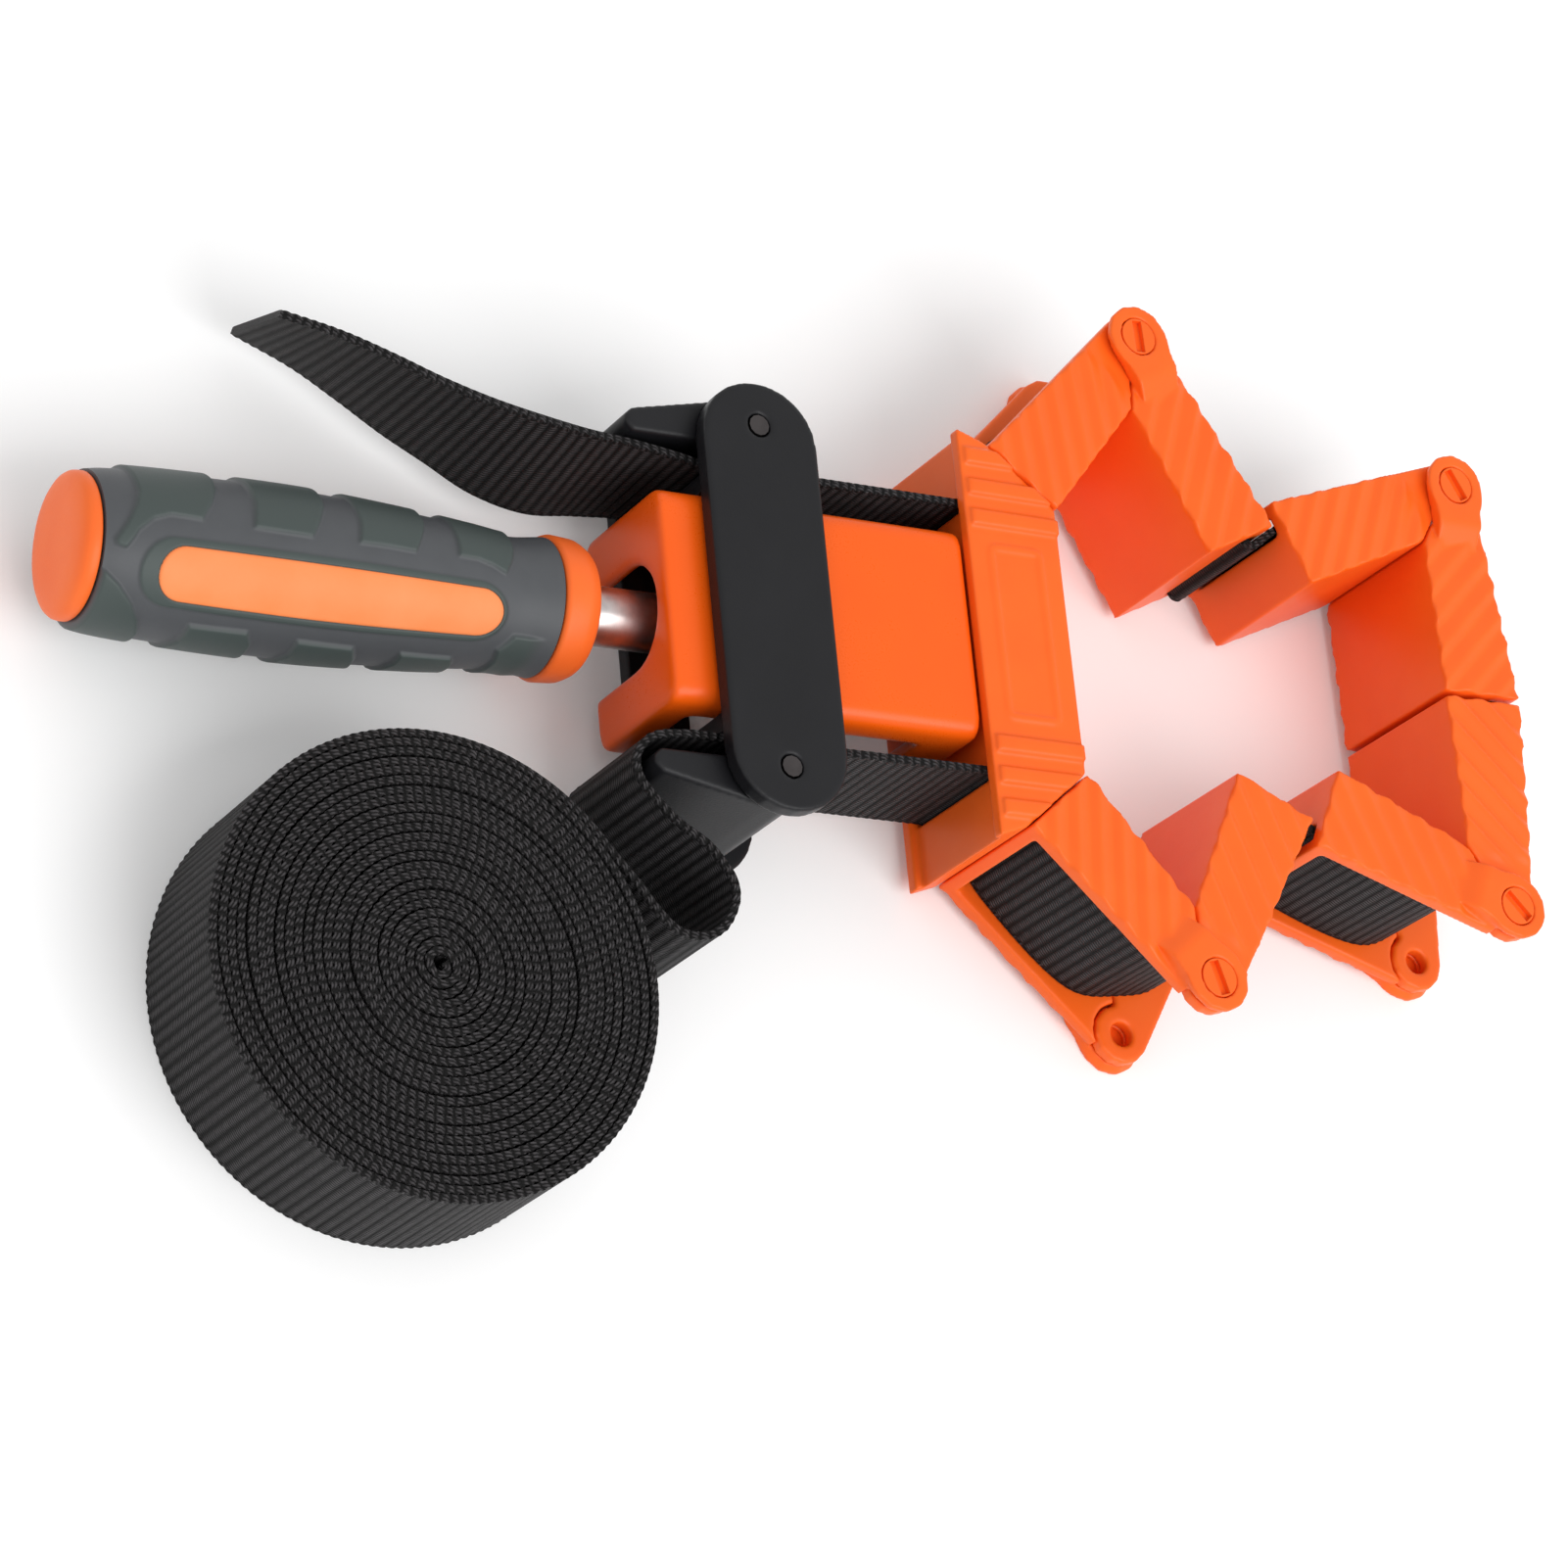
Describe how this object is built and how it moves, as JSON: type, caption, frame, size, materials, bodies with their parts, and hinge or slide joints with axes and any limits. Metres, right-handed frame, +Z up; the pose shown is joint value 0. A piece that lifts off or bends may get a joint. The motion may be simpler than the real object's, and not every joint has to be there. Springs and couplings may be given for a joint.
{
  "type": "frame band clamp",
  "caption": "Band clamp with a screw-driven crosshead, cam levers, a screwdriver-like grip and folding corner jaws on a webbing band.",
  "frame": {"origin": "middle of the front block's work-bearing face, on the spindle axis", "axes": "+X from the grip towards the work, +Z up from the surface the clamp lies on"},
  "size_m": [0.2831, 0.1755, 0.0364],
  "materials": {
    "orange_plastic": "satin moulded plastic",
    "orange_grip": "satin moulded plastic",
    "grey_rubber": "matt soft grip",
    "black_plastic": "satin glass-filled plastic",
    "steel": "bright turned steel",
    "webbing": "ribbed polyester webbing"
  },
  "bodies": {
    "housing_body": {"housing": "orange_plastic", "front_block": "orange_plastic", "thrust_washer": "steel", "band_circuit": "webbing"},
    "handle": {"spindle": "steel", "grip_core": "orange_grip", "grip_overmould": "grey_rubber", "end_cap": "orange_grip"},
    "crosshead": {"top_plate": "black_plastic", "bottom_plate": "black_plastic", "crossbar": "steel", "anvil_left": "black_plastic", "anvil_right": "black_plastic", "lever_pin_left": "steel", "lever_pin_right": "steel", "band_tail": "webbing", "band_loop": "webbing", "band_roll": "webbing"},
    "left_lever": {"lever_left": "black_plastic"},
    "right_lever": {"lever_right": "black_plastic"},
    "corner_1_tongue_half": {"corner_1_tongue": "orange_plastic"},
    "corner_1_fork_half": {"corner_1_fork": "orange_plastic", "corner_1_pin_top": "orange_plastic", "corner_1_pin_bottom": "orange_plastic"},
    "corner_2_tongue_half": {"corner_2_tongue": "orange_plastic"},
    "corner_2_fork_half": {"corner_2_fork": "orange_plastic", "corner_2_pin_top": "orange_plastic", "corner_2_pin_bottom": "orange_plastic"},
    "corner_3_tongue_half": {"corner_3_tongue": "orange_plastic"},
    "corner_3_fork_half": {"corner_3_fork": "orange_plastic", "corner_3_pin_top": "orange_plastic", "corner_3_pin_bottom": "orange_plastic"},
    "corner_4_tongue_half": {"corner_4_tongue": "orange_plastic"},
    "corner_4_fork_half": {"corner_4_fork": "orange_plastic", "corner_4_pin_top": "orange_plastic", "corner_4_pin_bottom": "orange_plastic"}
  },
  "joints": [
    {"name": "handle_turn", "type": "hinge", "parent": "housing_body", "child": "handle", "pos_m": [-0.06, 0, 0], "axis": [1, 0, 0], "range_deg": [-2440, 640]},
    {"name": "crosshead_slide", "type": "slide", "parent": "housing_body", "child": "crosshead", "axis": [1, 0, 0], "range_m": [-0.0071, 0.0271], "deforming": ["band_circuit"]},
    {"name": "left_lever_swing", "type": "hinge", "parent": "crosshead", "child": "left_lever", "pos_m": [-0.061, 0.0315, 0], "axis": [0, 0, 1], "range_deg": [-95, 0]},
    {"name": "right_lever_swing", "type": "hinge", "parent": "crosshead", "child": "right_lever", "pos_m": [-0.061, -0.0315, 0], "axis": [0, 0, 1], "range_deg": [0, 95], "deforming": ["band_loop"]},
    {"name": "left_arm_swing", "type": "hinge", "parent": "housing_body", "child": "corner_1_tongue_half", "pos_m": [-0.01243, 0.03599, 0], "axis": [0, 0, 1], "range_deg": [0, 35], "deforming": ["band_circuit"]},
    {"name": "corner_1_opening", "type": "hinge", "parent": "corner_1_tongue_half", "child": "corner_1_fork_half", "pos_m": [0.02128, 0.06162, 0], "axis": [0, 0, 1], "range_deg": [0, 60], "deforming": ["band_circuit"]},
    {"name": "left_junction_swing", "type": "hinge", "parent": "corner_1_fork_half", "child": "corner_2_tongue_half", "pos_m": [0.04793, 0.0295, 0], "axis": [0, 0, 1], "range_deg": [0, 28], "deforming": ["band_circuit"]},
    {"name": "corner_2_opening", "type": "hinge", "parent": "corner_2_tongue_half", "child": "corner_2_fork_half", "pos_m": [0.08952, 0.04178, 0], "axis": [0, 0, 1], "range_deg": [0, 60], "deforming": ["band_circuit"]},
    {"name": "right_arm_swing", "type": "hinge", "parent": "housing_body", "child": "corner_4_fork_half", "pos_m": [-0.01243, -0.03599, 0], "axis": [0, 0, 1], "range_deg": [-35, 0], "deforming": ["band_circuit"]},
    {"name": "corner_4_opening", "type": "hinge", "parent": "corner_4_fork_half", "child": "corner_4_tongue_half", "pos_m": [0.02128, -0.06162, 0], "axis": [0, 0, 1], "range_deg": [-60, 0], "deforming": ["band_circuit"]},
    {"name": "right_junction_swing", "type": "hinge", "parent": "corner_4_tongue_half", "child": "corner_3_fork_half", "pos_m": [0.04793, -0.0295, 0], "axis": [0, 0, 1], "range_deg": [-28, 0], "deforming": ["band_circuit"]},
    {"name": "corner_3_opening", "type": "hinge", "parent": "corner_3_fork_half", "child": "corner_3_tongue_half", "pos_m": [0.08952, -0.04178, 0], "axis": [0, 0, 1], "range_deg": [-60, 0], "deforming": ["band_circuit"]}
  ],
  "couplings": [
    {"joint": "handle_turn", "follows": "crosshead_slide", "rad_per_m": -1570.8}
  ]
}
